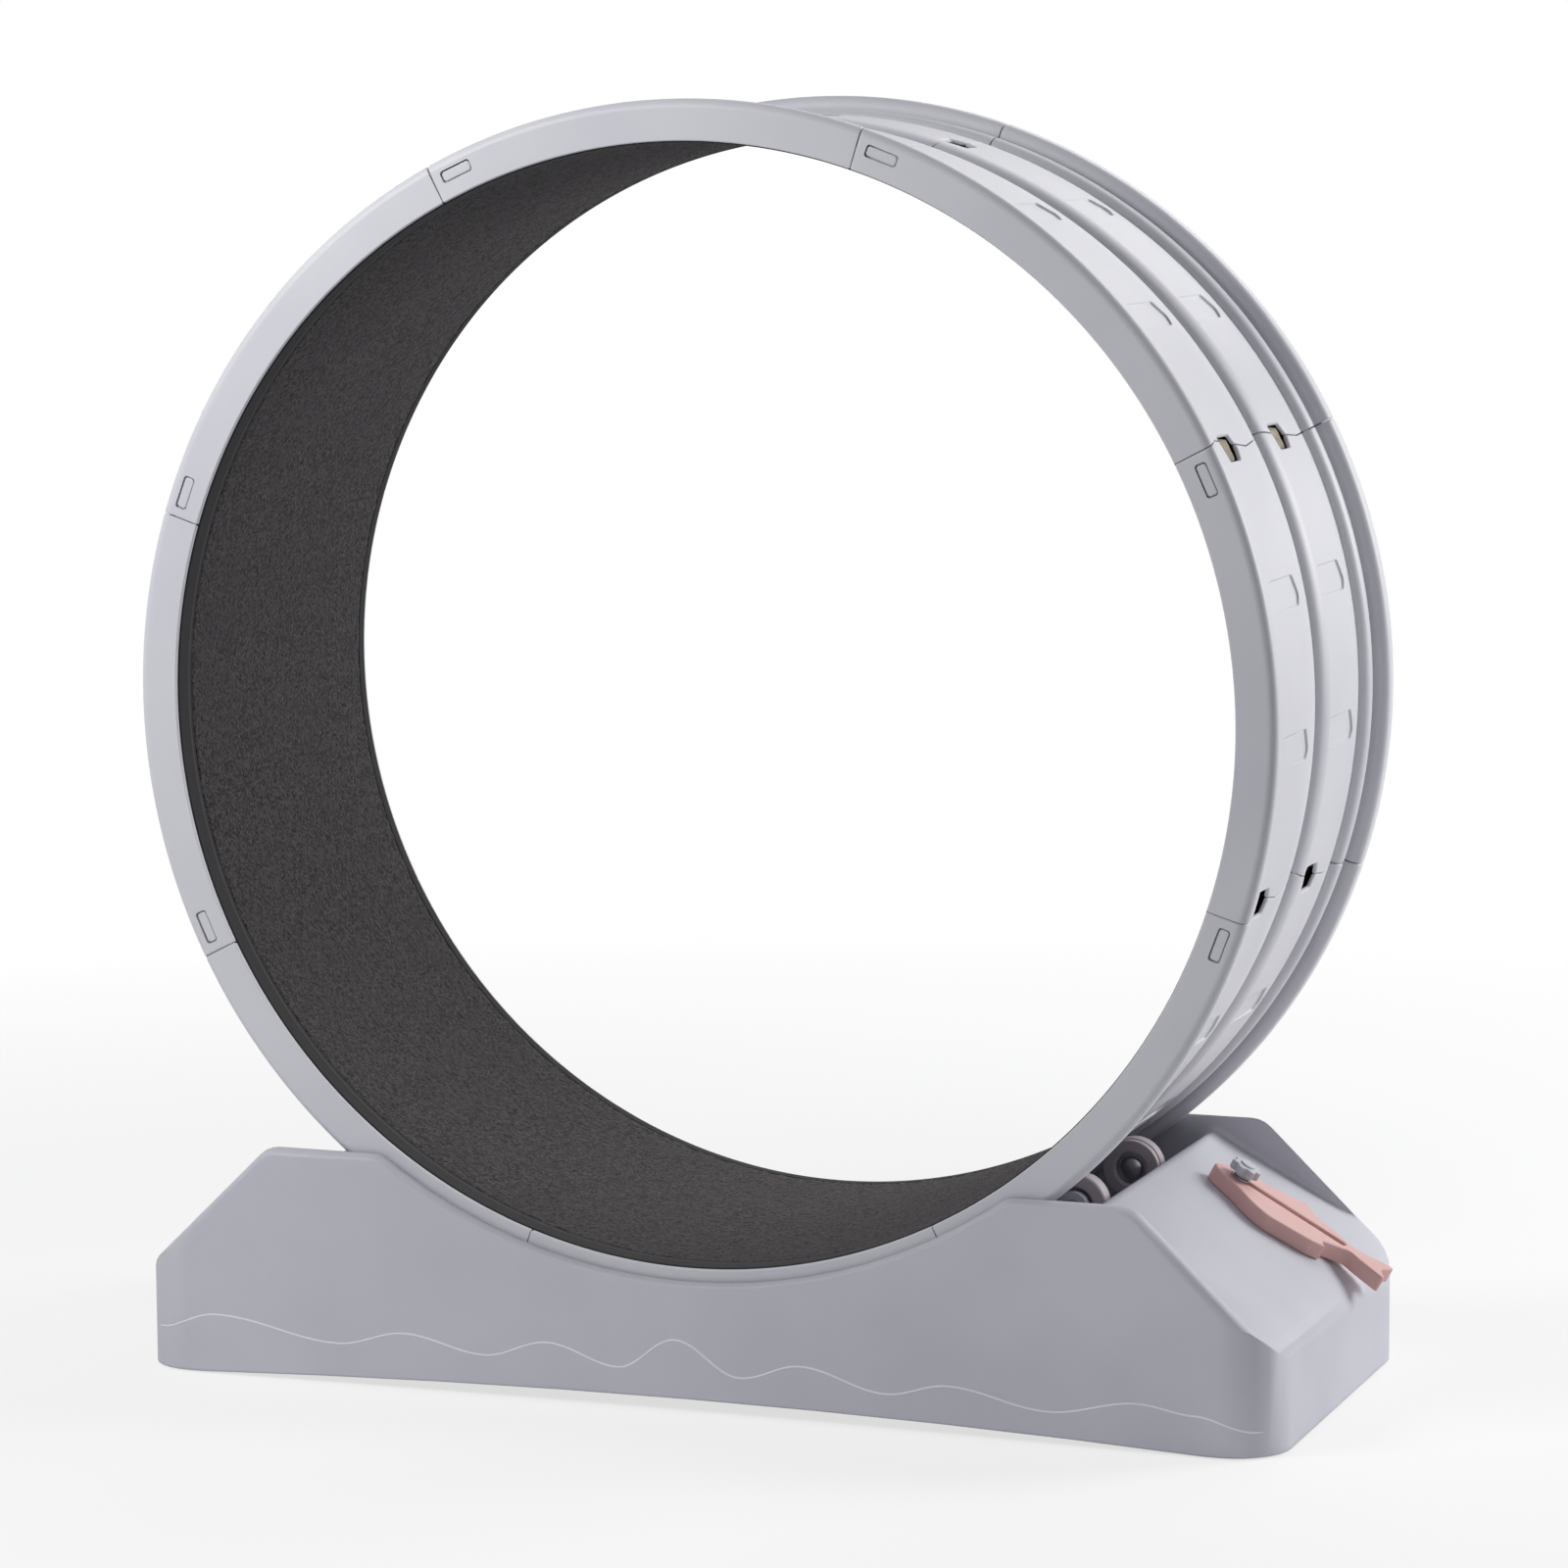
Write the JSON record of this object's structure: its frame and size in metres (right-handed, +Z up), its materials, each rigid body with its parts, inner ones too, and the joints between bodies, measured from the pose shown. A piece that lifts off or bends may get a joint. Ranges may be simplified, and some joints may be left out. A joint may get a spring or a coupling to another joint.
{
  "type": "cat exercise wheel",
  "caption": "Freestanding running wheel for a cat: carpet-lined ring of snapped segments on rollers in a moulded base, with a sliding fish-shaped brake.",
  "frame": {"origin": "on the floor, under the middle of the outline seen from above", "axes": "+Z up; +Y along the wheel's axis, from the front face to the rear face; +X along the base, towards the brake"},
  "size_m": [1.0386, 0.415, 1.0855],
  "materials": {
    "ring_plastic": "moulded, fine satin",
    "base_plastic": "moulded, fine satin",
    "carpet": "charcoal heather loop pile",
    "binding": "black woven edging",
    "felt": "coarse beige felt",
    "tyre": "smooth grey",
    "steel": "plated",
    "fish_plastic": "satin pink",
    "knob_plastic": "satin light grey",
    "foot_rubber": "matt black"
  },
  "bodies": {
    "base": {"base_shell": "base_plastic", "foot_front_left": "foot_rubber", "roller_bolt_front_left": "steel", "roller_nut_front_left": "steel", "foot_front_right": "foot_rubber", "roller_bolt_front_right": "steel", "roller_nut_front_right": "steel", "foot_rear_left": "foot_rubber", "roller_bolt_rear_left": "steel", "roller_nut_rear_left": "steel", "foot_rear_right": "foot_rubber", "roller_bolt_rear_right": "steel", "roller_nut_rear_right": "steel", "knob_nut": "steel"},
    "wheel": {"ring_segment_1": "ring_plastic", "ring_segment_2": "ring_plastic", "ring_segment_3": "ring_plastic", "ring_segment_4": "ring_plastic", "ring_segment_5": "ring_plastic", "ring_segment_6": "ring_plastic", "ring_segment_7": "ring_plastic", "ring_segment_8": "ring_plastic", "tread_carpet": "carpet", "front_binding": "binding", "rear_binding": "binding", "tread_underlay": "felt"},
    "roller_front_left": {"roller_tyre_front_left": "tyre", "roller_bearing_front_left": "steel"},
    "roller_front_right": {"roller_tyre_front_right": "tyre", "roller_bearing_front_right": "steel"},
    "roller_rear_left": {"roller_tyre_rear_left": "tyre", "roller_bearing_rear_left": "steel"},
    "roller_rear_right": {"roller_tyre_rear_right": "tyre", "roller_bearing_rear_right": "steel"},
    "brake": {"brake_fish": "fish_plastic"},
    "knob": {"knob_grip": "knob_plastic", "knob_screw": "steel", "knob_washer": "steel"}
  },
  "joints": [
    {"name": "wheel_spin", "type": "hinge", "parent": "base", "child": "wheel", "pos_m": [-0.01233, 0, 0.586], "axis": [0, 1, 0], "continuous": true},
    {"name": "roller_front_left_spin", "type": "hinge", "parent": "base", "child": "roller_front_left", "pos_m": [-0.31503, -0.079, 0.17393], "axis": [0, 1, 0], "continuous": true},
    {"name": "roller_front_right_spin", "type": "hinge", "parent": "base", "child": "roller_front_right", "pos_m": [0.29036, -0.079, 0.17393], "axis": [0, 1, 0], "continuous": true},
    {"name": "roller_rear_left_spin", "type": "hinge", "parent": "base", "child": "roller_rear_left", "pos_m": [-0.31503, 0.079, 0.17393], "axis": [0, 1, 0], "continuous": true},
    {"name": "roller_rear_right_spin", "type": "hinge", "parent": "base", "child": "roller_rear_right", "pos_m": [0.29036, 0.079, 0.17393], "axis": [0, 1, 0], "continuous": true},
    {"name": "brake_slide", "type": "slide", "parent": "base", "child": "brake", "axis": [-0.8725, 0, 0.4886], "range_m": [0, 0.0685]},
    {"name": "knob_turn", "type": "hinge", "parent": "base", "child": "knob", "pos_m": [0.37973, 0.073, 0.15954], "axis": [0.4886, 0, 0.8725], "range_deg": [0, 360]}
  ],
  "couplings": [
    {"joint": "roller_front_left_spin", "follows": "wheel_spin", "ratio": -18.654},
    {"joint": "roller_front_right_spin", "follows": "wheel_spin", "ratio": -18.654},
    {"joint": "roller_rear_left_spin", "follows": "wheel_spin", "ratio": -18.654},
    {"joint": "roller_rear_right_spin", "follows": "wheel_spin", "ratio": -18.654}
  ]
}
